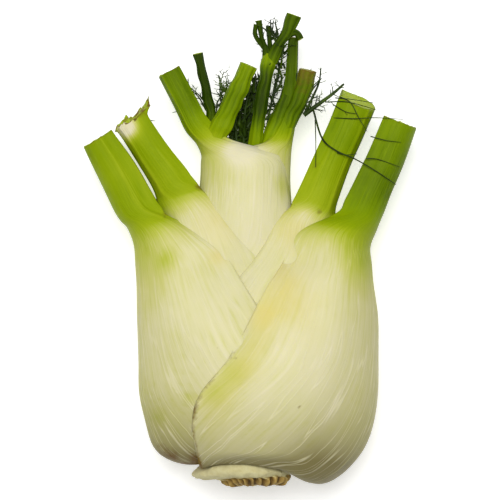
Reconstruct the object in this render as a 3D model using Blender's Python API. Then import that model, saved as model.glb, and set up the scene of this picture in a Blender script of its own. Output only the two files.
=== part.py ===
"""Fennel bulb, lying on its side.

A short root plate carries leaves in two alternating rows. Each leaf is a fleshy sheath
that wraps everything inside it and narrows to a green stalk, cut off short. The bulb
lies on its flat side: +Y runs from the root to the stalks, +X to its right, +Z up.
The origin is on the surface it lies on, under the middle of its outline.
"""

import math
from collections import namedtuple

import bmesh
import bpy
import numpy as np
from mathutils import Vector

MM = 0.001

# Driving dimensions, in millimetres
AXIS_HEIGHT = 33.0        # the shoot's axis above the surface, half the bulb's thickness
RING_STEPS = 14           # facets around each side of a sheath's wall
TUBE_RINGS = 3            # rings from one station of a branch to the next
FAR_WALL = 1.0            # a sheath's wall opposite its midrib
MARGIN_TAPER = 0.62       # how much of the wall a sheath loses at its free margin
TAPER_SHARPNESS = 8       # how closely that loss keeps to the margin
UNDERSIDE_FULLNESS = 1.06 # the outermost leaf's underside, flattened where it lies
STALK_FLAT = 0.82         # place of a stalk's flat inner face, as a part of its half width
STALK_BOW = 0.10          # how far that face bows out, as a part of the half width
STALK_DEPTH = 0.75        # depth of that face, as a part of the stalk's half depth
STALK_ANGLE = 78.0        # half angle of the inner face's arc, in degrees
FROND_RADIUS = 0.7
FROND_TAPER = 0.4         # how much of its radius a frond's stem loses by its tip

# A ring of a leaf: its middle (y, x), half width, half depth, the angles of its front and
# back margins from the midrib in degrees, the midrib's thickness, the lean outwards in
# degrees, and how far it has closed from a sheath (0) to a stalk (1).
Ring = namedtuple("Ring", "y x width depth front back wall lean stalk")

# A point of a branch: x, y, height over the axis, radius
Tube = namedtuple("Tube", "x y up radius")

OUTER_RIGHT = [
    Ring(-86.4, -2.0, 19.0, 14.5, 140, 140, 3.0, 7, 0),
    Ring(-90.0, -1.0, 27.5, 21.5, 134, 136, 4.5, 7, 0),
    Ring(-86.6, 0.5, 35.5, 27.0, 128, 130, 6.0, 6, 0),
    Ring(-79.0, 1.5, 42.0, 30.4, 125, 128, 7.0, 4, 0),
    Ring(-70.0, 1.8, 46.4, 32.2, 123, 124, 7.0, 2, 0),
    Ring(-58.0, 2.4, 48.3, 33.8, 118, 122, 7.0, 0, 0),
    Ring(-44.0, 2.7, 48.8, 34.2, 104, 118, 7.0, 0, 0),
    Ring(-28.0, 3.0, 48.0, 33.8, 93, 110, 7.0, 0, 0),
    Ring(-14.0, 3.6, 46.0, 33.2, 83, 102, 7.0, 0, 0),
    Ring(-4.0, 8.9, 40.0, 28.4, 80, 96, 7.0, 2, 0),
    Ring(4.0, 21.6, 27.0, 20.2, 88, 94, 7.0, 6, 0.15),
    Ring(10.5, 36.8, 13.8, 13.0, 104, 104, 9.0, 11, 0.6),
    Ring(17.0, 45.0, 8.8, 9.0, 112, 112, 12.0, 16, 1),
    Ring(26.0, 49.2, 8.0, 8.2, 112, 112, 12.0, 20, 1),
    Ring(38.0, 54.7, 7.7, 7.8, 112, 112, 12.0, 23, 1),
    Ring(50.2, 59.4, 7.2, 7.2, 112, 112, 12.0, 20, 1),
]

OUTER_LEFT = [
    Ring(-82.6, -1.5, 14.6, 8.6, 140, 140, 2.5, 2, 0),
    Ring(-84.0, -2.0, 22.5, 12.6, 130, 132, 3.5, 3, 0),
    Ring(-81.4, -2.5, 30.5, 18.6, 128, 130, 5.0, 3, 0),
    Ring(-77.0, -2.0, 36.5, 23.6, 126, 128, 6.0, 2, 0),
    Ring(-69.0, -1.6, 40.2, 27.2, 123, 126, 7.0, 0, 0),
    Ring(-57.0, -1.2, 43.1, 28.9, 118, 122, 7.0, 0, 0),
    Ring(-44.0, -1.1, 43.8, 29.2, 110, 118, 7.0, 0, 0),
    Ring(-28.0, -1.3, 43.9, 28.8, 99, 108, 7.0, 0, 0),
    Ring(-14.0, -3.6, 42.0, 26.4, 89, 98, 7.0, 1, 0),
    Ring(-3.0, -10.5, 35.6, 23.0, 89, 92, 7.0, 4, 0),
    Ring(5.0, -26.0, 20.9, 17.4, 103, 100, 7.0, 10, 0.2),
    Ring(11.5, -41.2, 10.2, 11.0, 106, 106, 9.0, 18, 0.7),
    Ring(18.0, -45.6, 8.5, 8.6, 112, 112, 12.0, 25, 1),
    Ring(31.2, -52.3, 8.0, 7.9, 112, 112, 12.0, 30, 1),
    Ring(43.6, -60.6, 6.6, 6.8, 112, 112, 12.0, 31, 1),
]

SECOND_RIGHT = [
    Ring(-81.0, -1.0, 10.2, 5.6, 140, 140, 2.0, 0, 0),
    Ring(-81.4, 0.0, 17.0, 9.6, 132, 134, 3.0, 0, 0),
    Ring(-78.8, 0.5, 24.0, 14.8, 130, 132, 4.0, 0, 0),
    Ring(-75.0, 1.0, 30.0, 19.4, 128, 130, 5.0, 0, 0),
    Ring(-67.0, 1.4, 34.0, 22.3, 126, 128, 6.0, 0, 0),
    Ring(-56.0, 1.8, 36.6, 24.0, 124, 126, 6.0, 0, 0),
    Ring(-43.0, 2.0, 37.4, 24.3, 122, 124, 6.0, 0, 0),
    Ring(-28.0, 2.0, 37.0, 23.8, 118, 122, 6.0, 0, 0),
    Ring(-14.0, 2.5, 34.0, 21.8, 106, 112, 5.5, 0, 0),
    Ring(-2.0, 5.5, 29.0, 18.4, 93, 98, 5.0, 2, 0),
    Ring(7.0, 12.0, 20.0, 13.8, 90, 92, 6.0, 6, 0.1),
    Ring(14.0, 21.3, 11.2, 10.4, 102, 102, 8.0, 12, 0.6),
    Ring(21.6, 26.6, 8.5, 8.8, 112, 112, 12.0, 20, 1),
    Ring(36.0, 32.6, 7.8, 8.0, 112, 112, 12.0, 23, 1),
    Ring(48.0, 38.0, 7.7, 7.8, 112, 112, 12.0, 24, 1),
    Ring(60.4, 43.0, 7.8, 7.2, 112, 112, 12.0, 24, 1),
]

SECOND_LEFT = [
    Ring(-79.4, -1.0, 6.8, 3.4, 140, 140, 1.5, 0, 0),
    Ring(-79.2, -1.0, 12.4, 6.8, 132, 134, 2.6, 0, 0),
    Ring(-76.6, -1.0, 18.6, 11.2, 130, 132, 3.6, 0, 0),
    Ring(-73.0, -1.2, 24.5, 15.2, 128, 130, 4.6, 0, 0),
    Ring(-65.0, -1.5, 28.5, 17.8, 126, 128, 6.0, 0, 0),
    Ring(-55.0, -1.7, 31.0, 19.2, 124, 126, 6.0, 0, 0),
    Ring(-42.0, -1.8, 32.0, 19.6, 122, 124, 6.0, 0, 0),
    Ring(-27.0, -2.0, 31.4, 19.2, 120, 122, 6.0, 0, 0),
    Ring(-13.0, -4.0, 29.0, 17.0, 114, 118, 5.0, 0, 0),
    Ring(0.0, -8.0, 25.0, 14.8, 113, 114, 4.0, 2, 0),
    Ring(12.0, -15.0, 16.4, 13.2, 110, 110, 3.6, 8, 0.1),
    Ring(21.0, -27.4, 9.6, 10.2, 106, 106, 8.0, 22, 0.6),
    Ring(28.0, -32.2, 7.8, 8.2, 112, 112, 12.0, 28, 1),
    Ring(38.0, -38.4, 7.3, 7.6, 112, 112, 12.0, 32, 1),
    Ring(48.0, -44.4, 7.3, 7.4, 112, 112, 12.0, 32, 1),
    Ring(54.8, -48.2, 7.8, 7.4, 112, 112, 12.0, 33, 1),
]

INNER_LEFT = [
    Ring(-77.0, -1.0, 7.0, 4.5, 140, 140, 2.0, 0, 0),
    Ring(-70.0, -1.0, 14.0, 8.4, 132, 134, 3.0, 0, 0),
    Ring(-58.0, -1.5, 21.0, 12.5, 128, 130, 4.0, 0, 0),
    Ring(-42.0, -1.8, 24.0, 14.8, 124, 126, 4.0, 0, 0),
    Ring(-26.0, -1.8, 23.5, 14.4, 122, 124, 4.0, 0, 0),
    Ring(-12.0, -1.8, 22.0, 12.4, 120, 122, 3.6, 0, 0),
    Ring(2.0, -1.8, 20.2, 10.6, 112, 116, 2.8, 0, 0),
    Ring(16.0, -1.9, 19.0, 10.1, 95, 106, 2.4, 0, 0),
    Ring(28.0, -2.0, 18.2, 10.8, 78, 90, 2.6, 0, 0),
    Ring(38.0, -2.6, 17.6, 11.0, 66, 76, 3.5, 4, 0),
    Ring(44.0, -14.0, 8.0, 8.4, 92, 92, 6.0, 14, 0.5),
    Ring(50.0, -20.2, 5.8, 6.2, 112, 112, 9.0, 25, 1),
    Ring(58.0, -24.6, 5.2, 5.4, 112, 112, 9.0, 28, 1),
    Ring(70.6, -31.4, 4.9, 4.8, 112, 112, 9.0, 28, 1),
]

INNER_RIGHT = [
    Ring(-72.0, 0.0, 5.0, 3.0, 140, 140, 1.6, 0, 0),
    Ring(-64.0, 0.3, 10.5, 6.0, 134, 136, 2.4, 0, 0),
    Ring(-52.0, 0.5, 15.5, 9.0, 130, 132, 3.0, 0, 0),
    Ring(-38.0, 0.6, 18.0, 10.8, 128, 130, 3.5, 0, 0),
    Ring(-22.0, 0.6, 17.8, 10.6, 128, 130, 3.5, 0, 0),
    Ring(-8.0, 0.6, 17.0, 8.8, 128, 130, 3.0, 0, 0),
    Ring(6.0, 0.8, 16.2, 7.8, 128, 130, 2.8, 0, 0),
    Ring(20.0, 1.2, 15.2, 8.0, 128, 130, 2.6, 0, 0),
    Ring(32.0, 1.6, 14.5, 8.6, 128, 130, 2.6, 0, 0),
    Ring(39.0, 2.2, 14.2, 8.4, 126, 128, 2.6, 0, 0),
    Ring(43.5, 11.2, 6.4, 6.4, 108, 108, 4.5, 2, 0.5),
    Ring(50.0, 15.0, 4.4, 4.4, 112, 112, 6.0, 5, 1),
    Ring(62.0, 15.8, 2.9, 2.9, 112, 112, 4.0, 3, 1),
    Ring(84.6, 17.2, 2.1, 2.1, 112, 112, 3.0, 3, 1),
]

# Branches that grow from a leaf, as (x, y, height over the axis, radius)
WIDE_BRANCH = [(-14.6, 41.0, 2.0, 3.4), (-12.6, 46.0, 4.5, 4.3), (-7.0, 59.0, 6.0, 3.9),
               (-0.6, 73.4, 6.5, 3.8)]
THIN_BRANCH = [(-17.6, 46.0, -1.0, 1.8), (-15.6, 52.8, -2.0, 2.0), (-17.2, 62.0, -2.0, 2.0),
               (-20.8, 78.6, -1.0, 1.9)]
STUB_BRANCH = [(14.8, 48.0, 1.0, 2.4), (18.6, 55.0, 2.0, 3.2), (21.0, 63.0, 2.5, 3.3),
               (23.0, 71.6, 3.0, 3.2)]
HEART_STEM = [(1.4, -54.0, 0.0, 1.5), (1.6, -30.0, 0.0, 4.0), (1.6, 10.0, 0.5, 4.0),
              (1.6, 36.0, 0.4, 2.5), (4.0, 56.0, 3.2, 2.6), (7.6, 76.6, 3.0, 3.1)]
HEART_BRANCHES = [
    [(7.6, 75.6, 3.0, 2.4), (6.0, 82.0, 3.0, 1.2), (4.0, 90.6, 3.0, 1.6)],
    [(7.8, 75.6, 2.0, 2.0), (7.6, 84.0, 1.0, 1.0), (7.4, 90.0, 1.0, 1.0)],
    [(8.2, 75.6, 3.0, 2.6), (11.6, 83.0, 4.0, 2.2), (15.6, 89.0, 4.0, 2.4),
     (17.2, 94.0, 4.0, 2.8)],
]

# Stems of the feathery leaflets, each frond a main stem and its side stems
HEART_FROND = [
    [(-4.0, 36.0, -2.5), (-5.6, 46.0, -3.5), (-6.0, 56.0, -3.5), (-3.0, 66.0, -3.0)],
    [(-5.6, 46.0, -3.5), (-9.0, 53.0, -5.0), (-11.0, 61.0, -6.0)],
]
LEFT_FROND = [
    [(-21.0, 55.0, -7.0), (-21.6, 60.0, -7.5), (-21.0, 65.0, -7.5)],
]
SIDE_FROND = [
    [(22.6, 52.0, -1.6), (27.0, 57.0, -2.0), (33.0, 61.6, -2.0), (37.2, 65.4, -2.0)],
    [(22.6, 52.0, -1.6), (25.0, 60.0, -4.0), (26.6, 66.0, -4.0), (28.0, 72.0, -4.0)],
]
TRAILING_FROND = [
    [(24.4, 51.0, 3.6), (28.6, 44.0, 7.0), (34.0, 39.4, 9.6), (42.0, 36.0, 9.6),
     (50.0, 31.0, 9.8), (58.0, 26.0, 9.0)],
]

# The root plate, as (y, x, half width, half depth): a disc under the leaves, with the
# brown stub of the root below it and the blunt tip of the stem above it
ROOT_PLATE = [(-94.2, 4.4, 9.0, 6.0), (-91.4, 3.0, 11.0, 7.5), (-91.0, -1.6, 14.5, 10.0),
              (-87.6, -2.4, 13.5, 9.6), (-84.6, -1.6, 7.5, 4.6), (-81.4, -1.2, 3.4, 1.9),
              (-78.4, -1.0, 2.0, 1.2)]
ROOT_LEAN = 8.0


def clear_scene():
    for old in list(bpy.data.objects):
        bpy.data.objects.remove(old, do_unlink=True)


def make_collection(name):
    collection = bpy.data.collections.new(name)
    bpy.context.scene.collection.children.link(collection)
    return collection


def make_material(name, colour, roughness):
    material = bpy.data.materials.new(name)
    material.use_nodes = True
    shader = material.node_tree.nodes["Principled BSDF"]
    shader.inputs["Base Color"].default_value = (*colour, 1.0)
    shader.inputs["Roughness"].default_value = roughness
    shader.inputs["Metallic"].default_value = 0.0
    material.diffuse_color = (*colour, 1.0)
    return material


def add_object(name, mesh, collection, material):
    piece = bpy.data.objects.new(name, mesh)
    collection.objects.link(piece)
    piece.data.materials.append(material)
    piece.data.shade_smooth()
    piece.data.set_sharp_from_angle(angle=math.radians(40))
    return piece


def smooth_rings(stations, per_span):
    """Points on a smooth curve through the stations, per_span to each span."""
    values = np.array(stations, dtype=float)
    ends = np.vstack([2 * values[0] - values[1], values, 2 * values[-1] - values[-2]])
    rings = []
    for i in range(len(values) - 1):
        before, start, end, after = ends[i:i + 4]
        for step in range(per_span):
            t = step / per_span
            rings.append(0.5 * (2 * start + (end - before) * t
                                + (2 * before - 5 * start + 4 * end - after) * t ** 2
                                + (3 * start - before - 3 * end + after) * t ** 3))
    rings.append(values[-1])
    return [type(stations[0])(*ring) for ring in rings]


def leaf_ring(ring, side, fullness):
    """The outer and the inner points of one ring of a leaf, from back to front margin.

    fullness deepens the outer surface's underside, which is then cut off level where the
    leaf lies on the surface.
    """
    grown = ring.stalk
    wall = ring.wall
    far = min(FAR_WALL, wall / 2)
    shift = (1 - grown) * (wall - far) / 2 + grown * STALK_FLAT * ring.width
    width = (1 - grown) * (ring.width - (wall + far) / 2) + grown * STALK_BOW * ring.width
    depth = (1 - grown) * (ring.depth - (wall + far) / 2) + grown * STALK_DEPTH * ring.depth
    lean = math.radians(ring.lean)
    outer, inner = [], []
    for i in range(RING_STEPS + 1):
        share = 2 * i / RING_STEPS - 1
        margin = ring.front if share > 0 else ring.back
        angle = math.radians(share * margin)
        inside = math.radians(share * ((1 - grown) * margin + grown * STALK_ANGLE))
        full = 1 - (1 - grown) * MARGIN_TAPER * abs(share) ** TAPER_SHARPNESS
        within = np.array([width * math.cos(inside) - shift, depth * math.sin(inside)])
        under = fullness if angle < 0 else 1.0
        without = np.array([ring.width * math.cos(angle),
                            ring.depth * under * math.sin(angle)])
        for points, (out, up) in ((inner, within), (outer, within + (without - within) * full)):
            up = max(up, -AXIS_HEIGHT)
            points.append(Vector((ring.x + side * out * math.cos(lean),
                                  ring.y - out * math.sin(lean),
                                  AXIS_HEIGHT + up)) * MM)
    return outer, inner


def loft(name, loops):
    """A closed mesh through loops of equal count; each end is closed across the wall."""
    shape = bmesh.new()
    rows = [[shape.verts.new(point) for point in loop] for loop in loops]
    count = len(rows[0])
    for low, high in zip(rows, rows[1:]):
        for i in range(count):
            after = (i + 1) % count
            shape.faces.new((low[i], low[after], high[after], high[i]))
    half = count // 2
    for row in (rows[0], rows[-1]):
        for i in range(half - 1):
            shape.faces.new((row[i], row[i + 1], row[count - 2 - i], row[count - 1 - i]))
    bmesh.ops.recalc_face_normals(shape, faces=shape.faces)
    mesh = bpy.data.meshes.new(name)
    shape.to_mesh(mesh)
    shape.free()
    return mesh


def make_leaf(name, stations, side, collection, material, fullness=1.0):
    loops = []
    for ring in stations:
        outer, inner = leaf_ring(ring, side, fullness)
        loops.append(outer + inner[::-1])
    return add_object(name, loft(name, loops), collection, material)


def tube_mesh(name, points, sides):
    """A tube with closed ends through (x, y, height over the axis, radius)."""
    curve = bpy.data.curves.new(name, "CURVE")
    curve.dimensions = "3D"
    curve.bevel_depth = MM
    curve.bevel_resolution = sides
    curve.use_fill_caps = True
    spline = curve.splines.new("POLY")
    route = smooth_rings([Tube(*point) for point in points], TUBE_RINGS)
    spline.points.add(len(route) - 1)
    for target, point in zip(spline.points, route):
        target.co = (point.x * MM, point.y * MM, (AXIS_HEIGHT + point.up) * MM, 1)
        target.radius = point.radius
    carrier = bpy.data.objects.new(name, curve)
    bpy.context.scene.collection.objects.link(carrier)
    carrier_now = carrier.evaluated_get(bpy.context.evaluated_depsgraph_get())
    mesh = bpy.data.meshes.new_from_object(carrier_now)
    bpy.data.objects.remove(carrier, do_unlink=True)
    shape = bmesh.new()
    shape.from_mesh(mesh)
    bmesh.ops.remove_doubles(shape, verts=shape.verts, dist=0.00001)
    bmesh.ops.recalc_face_normals(shape, faces=shape.faces)
    shape.to_mesh(mesh)
    shape.free()
    mesh.materials.clear()
    return mesh


def grow(piece, number, points, sides, hidden):
    """Join a tube to a piece."""
    name = f"{piece.name}_branch_{number}"
    branch = bpy.data.objects.new(name, tube_mesh(name, points, sides))
    hidden.objects.link(branch)
    branch.hide_render = True
    branch.display_type = "WIRE"
    join = piece.modifiers.new(name, "BOOLEAN")
    join.operation = "UNION"
    join.solver = "EXACT"
    join.object = branch


def make_frond(name, stems, collection, hidden, material):
    """A main stem with its side stems joined to it, tapering to their tips."""
    routes = []
    for stem in stems:
        last = len(stem) - 1
        routes.append([(*point, FROND_RADIUS * (1 - FROND_TAPER * i / last))
                       for i, point in enumerate(stem)])
    frond = add_object(name, tube_mesh(name, routes[0], 1), collection, material)
    for number, route in enumerate(routes[1:], 1):
        grow(frond, number, route, 1, hidden)
    return frond


def make_root_plate(collection, material):
    lean = math.radians(ROOT_LEAN)
    steps = 2 * (RING_STEPS + 1)
    loops = []
    for y, x, width, depth in ROOT_PLATE:
        loop = []
        for i in range(steps):
            angle = 2 * math.pi * i / steps
            out = width * math.cos(angle)
            loop.append(Vector((x + out * math.cos(lean), y - out * math.sin(lean),
                                AXIS_HEIGHT + depth * math.sin(angle))) * MM)
        loops.append(loop)
    return add_object("root_plate", loft("root_plate", loops), collection, material)


def build():
    clear_scene()
    bulb = make_collection("fennel_bulb")
    hidden = make_collection("branches_to_join")

    root = make_material("root", (0.45, 0.38, 0.20), 0.75)
    pale = make_material("pale_sheath", (0.72, 0.70, 0.46), 0.42)
    green = make_material("green_leaf", (0.30, 0.42, 0.03), 0.45)
    dark = make_material("frond", (0.05, 0.10, 0.01), 0.55)

    make_root_plate(bulb, root)
    make_leaf("outer_right_leaf", OUTER_RIGHT, 1, bulb, pale, UNDERSIDE_FULLNESS)
    make_leaf("outer_left_leaf", OUTER_LEFT, -1, bulb, pale)
    make_leaf("second_right_leaf", SECOND_RIGHT, 1, bulb, pale)
    make_leaf("second_left_leaf", SECOND_LEFT, -1, bulb, pale)
    inner_left = make_leaf("inner_left_leaf", INNER_LEFT, -1, bulb, pale)
    grow(inner_left, 1, WIDE_BRANCH, 3, hidden)
    grow(inner_left, 2, THIN_BRANCH, 2, hidden)
    inner_right = make_leaf("inner_right_leaf", INNER_RIGHT, 1, bulb, pale)
    grow(inner_right, 1, STUB_BRANCH, 2, hidden)

    heart = add_object("heart_leaf", tube_mesh("heart_leaf", HEART_STEM, 2), bulb, green)
    for number, branch in enumerate(HEART_BRANCHES, 1):
        grow(heart, number, branch, 1, hidden)

    make_frond("heart_frond", HEART_FROND, bulb, hidden, dark)
    make_frond("left_frond", LEFT_FROND, bulb, hidden, dark)
    make_frond("side_frond", SIDE_FROND, bulb, hidden, dark)
    make_frond("trailing_frond", TRAILING_FROND, bulb, hidden, dark)


build()
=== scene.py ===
"""Fennel bulb: fleshy leaf sheaths around a root plate, green stalks cut short, fronds."""

import math
import random
from collections import namedtuple

import bpy
import numpy as np
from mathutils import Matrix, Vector
from mathutils.bvhtree import BVHTree


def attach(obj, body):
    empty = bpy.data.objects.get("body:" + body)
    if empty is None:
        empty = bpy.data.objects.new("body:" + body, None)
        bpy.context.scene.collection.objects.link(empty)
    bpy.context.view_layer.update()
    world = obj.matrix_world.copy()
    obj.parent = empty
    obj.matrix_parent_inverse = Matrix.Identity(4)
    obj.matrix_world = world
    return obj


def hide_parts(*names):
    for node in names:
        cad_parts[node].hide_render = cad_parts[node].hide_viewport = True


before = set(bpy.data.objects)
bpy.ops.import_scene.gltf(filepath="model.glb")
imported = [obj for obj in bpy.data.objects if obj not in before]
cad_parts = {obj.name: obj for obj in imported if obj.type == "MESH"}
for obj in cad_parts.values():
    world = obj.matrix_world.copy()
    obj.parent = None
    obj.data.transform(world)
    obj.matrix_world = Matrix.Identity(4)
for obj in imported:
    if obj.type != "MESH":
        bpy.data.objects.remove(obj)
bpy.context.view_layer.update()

# ---------------------------------------------------------------------------------------
# Root plate: the short hard stem that all the leaves grow from. Its rim is pale and its
# underside is the dry brown scar, corrugated where the roots were pared off.
# ---------------------------------------------------------------------------------------

MM = 0.001
AXIS = 33.0               # height of the shoot's axis over the tabletop, in millimetres

ROOT_SIDES = 128
ROOT_RING_COUNT = 44
SCAR_RIDGES = 27          # stumps of pared roots round the scar
RIDGE_SWAY = 1.5          # how unevenly they are spaced
SCAR_WAVER = 0.4          # how far the scar's face wavers, as a part of the ridges' depth
RIM_SAG = 0.12            # how much lower the rim's left side is, over its distance out
ROOT_LUMPS = 0.35         # height of the lumps all over the plate, in millimetres
# From the scar to the tip of the stem: the middle (y, x), half width, half depth, and how
# deep the scar's ridges are. Millimetres.
RootRing = namedtuple("RootRing", "y x width depth ridge")
ROOT_RINGS = [
    RootRing(-92.8, 2.4, 1.2, 1.2, 0.0), RootRing(-93.2, 2.4, 5.0, 5.0, 0.3),
    RootRing(-93.5, 2.4, 8.8, 9.4, 0.7), RootRing(-93.2, 2.4, 11.4, 13.6, 1.2),
    RootRing(-91.6, 2.4, 13.0, 16.0, 1.4), RootRing(-90.2, 1.8, 13.8, 16.8, 0.8),
    RootRing(-89.8, -1.0, 16.4, 17.6, 0.1), RootRing(-89.2, -3.0, 19.0, 19.0, 0.0),
    RootRing(-87.4, -3.4, 19.6, 20.4, 0.0), RootRing(-84.4, -3.0, 16.8, 18.6, 0.0),
    RootRing(-82.0, -2.4, 10.4, 11.0, 0.0), RootRing(-80.4, -1.2, 3.4, 1.9, 0.0),
    RootRing(-78.8, -1.0, 1.2, 0.8, 0.0),
]


def select_only(piece):
    bpy.ops.object.select_all(action="DESELECT")
    piece.select_set(True)
    bpy.context.view_layer.objects.active = piece


def start_sleeve(name, sides, rings):
    """A cylinder cut into rings, the blank that each fleshy piece is shaped from."""
    bpy.ops.object.select_all(action="DESELECT")
    bpy.ops.mesh.primitive_cylinder_add(vertices=sides, radius=1.0, depth=2.0,
                                        end_fill_type="NGON")
    sleeve = bpy.context.object
    sleeve.name = name
    sleeve.data.name = name
    bpy.ops.object.mode_set(mode="EDIT")
    bpy.ops.mesh.select_mode(type="EDGE")
    bpy.ops.mesh.select_all(action="DESELECT")
    bpy.ops.object.mode_set(mode="OBJECT")
    heights = [corner.co.z for corner in sleeve.data.vertices]
    for edge in sleeve.data.edges:
        low, high = (heights[i] for i in edge.vertices)
        edge.select = abs(low - high) > 1.0
    bpy.ops.object.mode_set(mode="EDIT")
    bpy.ops.mesh.subdivide(number_cuts=rings - 2)
    bpy.ops.object.mode_set(mode="OBJECT")
    return sleeve


def read_places(mesh):
    places = np.empty(len(mesh.vertices) * 3)
    mesh.vertices.foreach_get("co", places)
    return places.reshape(-1, 3)


def write_places(mesh, places):
    mesh.vertices.foreach_set("co", np.asarray(places, dtype=float).ravel())
    mesh.update()


def sleeve_grid(sleeve, sides, rings):
    """Which side and which ring of the blank each of its points is on."""
    places = read_places(sleeve.data)
    turn = np.arctan2(places[:, 1], places[:, 0]) / (2 * math.pi)
    side = np.rint(turn * sides).astype(int) % sides
    ring = np.rint((places[:, 2] + 1) / 2 * (rings - 1)).astype(int)
    return side, ring


def through_stations(stations, at):
    """Values on a smooth curve through the stations, at places from 0 to their last."""
    values = np.array(stations, dtype=float)
    padded = np.vstack([2 * values[0] - values[1], values, 2 * values[-1] - values[-2]])
    at = np.clip(np.asarray(at, dtype=float), 0, len(values) - 1)
    start = np.minimum(at.astype(int), len(values) - 2)
    t = (at - start)[:, None]
    p0, p1, p2, p3 = (padded[start + i] for i in range(4))
    return 0.5 * (2 * p1 + (p2 - p0) * t + (2 * p0 - 5 * p1 + 4 * p2 - p3) * t ** 2
                  + (3 * p1 - p0 - 3 * p2 + p3) * t ** 3)


def lumps(places, size, seed):
    """Smooth irregularity, mostly from -1 to 1, with lumps of the given size in millimetres."""
    waves = np.random.default_rng(seed)
    total = np.zeros(len(places))
    for _ in range(9):
        way = waves.normal(size=3)
        way *= 2 * math.pi / (np.linalg.norm(way) * size * MM * waves.uniform(1.4, 2.8))
        total += np.sin(places @ way + waves.uniform(0, 2 * math.pi))
    return total / 3


def write_marks(mesh, **marks):
    """Store a value for each point of the mesh, for its material to read."""
    for name, values in marks.items():
        mark = mesh.attributes.get(name) or mesh.attributes.new(name, "FLOAT", "POINT")
        mark.data.foreach_set("value", np.asarray(values, dtype=float))


def read_mark(mesh, name):
    values = np.empty(len(mesh.vertices))
    mesh.attributes[name].data.foreach_get("value", values)
    return values


def close_up(piece):
    """Merge the points that met, and turn every face outwards."""
    select_only(piece)
    bpy.ops.object.mode_set(mode="EDIT")
    bpy.ops.mesh.select_mode(type="VERT")
    bpy.ops.mesh.select_all(action="SELECT")
    bpy.ops.mesh.remove_doubles(threshold=0.000002)
    bpy.ops.mesh.normals_make_consistent(inside=False)
    bpy.ops.object.mode_set(mode="OBJECT")


def smooth_once(piece):
    select_only(piece)
    round_off = piece.modifiers.new("round_off", "SUBSURF")
    round_off.levels = 1
    round_off.render_levels = 1
    bpy.ops.object.modifier_apply(modifier=round_off.name)
    bpy.ops.object.shade_smooth()


def linear(shade):
    """An sRGB hex colour as the linear colour that a shader takes."""
    parts = [int(shade[i:i + 2], 16) / 255 for i in (0, 2, 4)]
    return (*(c / 12.92 if c <= 0.04045 else ((c + 0.055) / 1.055) ** 2.4 for c in parts), 1.0)


def add_node(tree, kind, settings=None, **links):
    """Add a node: its settings, then a value or another node's output for each input."""
    node = tree.nodes.new(kind)
    for key, value in (settings or {}).items():
        setattr(node, key, value)
    for key, value in links.items():
        slot = node.inputs[int(key[1:]) if key[1:].isdigit() else key.replace("_", " ")]
        if isinstance(value, bpy.types.NodeSocket):
            tree.links.new(value, slot)
        else:
            slot.default_value = value
    return node


def set_ramp(ramp, *stops):
    """Give a colour ramp its stops, as (place, hex colour)."""
    elements = ramp.color_ramp.elements
    while len(elements) > 1:
        elements.remove(elements[-1])
    elements[0].position = stops[0][0]
    elements[0].color = linear(stops[0][1])
    for place, shade in stops[1:]:
        elements.new(place).color = linear(shade)


# Cut root tissue: dry and corky, with no gloss. Straw coloured where the skin is whole,
# brown where it was cut, in blotches 2 mm across and with pits of 1 mm. Painted shade darkens the
# creases between the scar's ridges.
root_cork = bpy.data.materials.new("dry_root_cork")
root_cork.use_nodes = True
tree = root_cork.node_tree
shader = tree.nodes["Principled BSDF"]
shader.inputs["Roughness"].default_value = 0.8
shader.inputs["IOR"].default_value = 1.4
where = add_node(tree, "ShaderNodeTexCoord")
scar = add_node(tree, "ShaderNodeAttribute", {"attribute_name": "scar"})
blotch = add_node(tree, "ShaderNodeTexNoise", Vector=where.outputs["Object"],
                  Scale=0.52 / MM, Detail=6.0, Roughness=0.65)
mottle = add_node(tree, "ShaderNodeMath", {"operation": "MULTIPLY_ADD"},
                  _0=blotch.outputs["Fac"], _1=0.5, _2=scar.outputs["Fac"])
tint = add_node(tree, "ShaderNodeValToRGB", Fac=mottle.outputs[0])
set_ramp(tint, (0.18, "d6cf9e"), (0.40, "c6ba82"), (0.62, "b39650"), (0.85, "84662e"),
         (1.0, "4a3818"))
pits = add_node(tree, "ShaderNodeTexNoise", Vector=where.outputs["Object"],
                Scale=0.9 / MM, Detail=5.0, Roughness=0.7)
rough = add_node(tree, "ShaderNodeBump", Height=pits.outputs["Fac"], Strength=0.6,
                 Distance=0.6 * MM)
tree.links.new(tint.outputs["Color"], shader.inputs["Base Color"])
tree.links.new(rough.outputs["Normal"], shader.inputs["Normal"])

root_plate = start_sleeve("root_plate_detail", ROOT_SIDES, ROOT_RING_COUNT)
side, ring = sleeve_grid(root_plate, ROOT_SIDES, ROOT_RING_COUNT)
shape = through_stations(ROOT_RINGS, ring / (ROOT_RING_COUNT - 1) * (len(ROOT_RINGS) - 1))
y, x, width, depth, ridge = shape.T
turn = side / ROOT_SIDES * 2 * math.pi
wave = np.cos(turn * SCAR_RIDGES + RIDGE_SWAY * np.sin(turn * 3))
reach = 1 + ridge * (wave - 0.3) / 9
out = width * reach * np.cos(turn)
sag = RIM_SAG * np.clip(-out - 4, 0, 20)
places = np.column_stack([x + out, y - sag - SCAR_WAVER * ridge * np.cos(turn * 9 + 2),
                          AXIS + depth * reach * np.sin(turn)]) * MM
places += np.column_stack([lumps(places, 2.2, i) for i in (1, 2, 3)]) * ROOT_LUMPS * MM
write_places(root_plate.data, places)
# the scar's own brown on its ridges, and painted shade darkening the creases between them
painted_crease_shade = np.clip(0.5 - 0.5 * wave, 0, 1) * np.clip(ridge, 0, 1)
write_marks(root_plate.data, scar=0.36 * np.clip(ridge, 0, 1) + 0.36 * painted_crease_shade)
close_up(root_plate)
smooth_once(root_plate)
root_plate.data.materials.clear()
root_plate.data.materials.append(root_cork)
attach(root_plate, "root")
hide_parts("root_plate")

# ---------------------------------------------------------------------------------------
# Outer right leaf: the outermost leaf. Its thick sheath wraps the right side, and its thin
# free margin crosses the front from the right shoulder down to the lower left.
# ---------------------------------------------------------------------------------------

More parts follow.
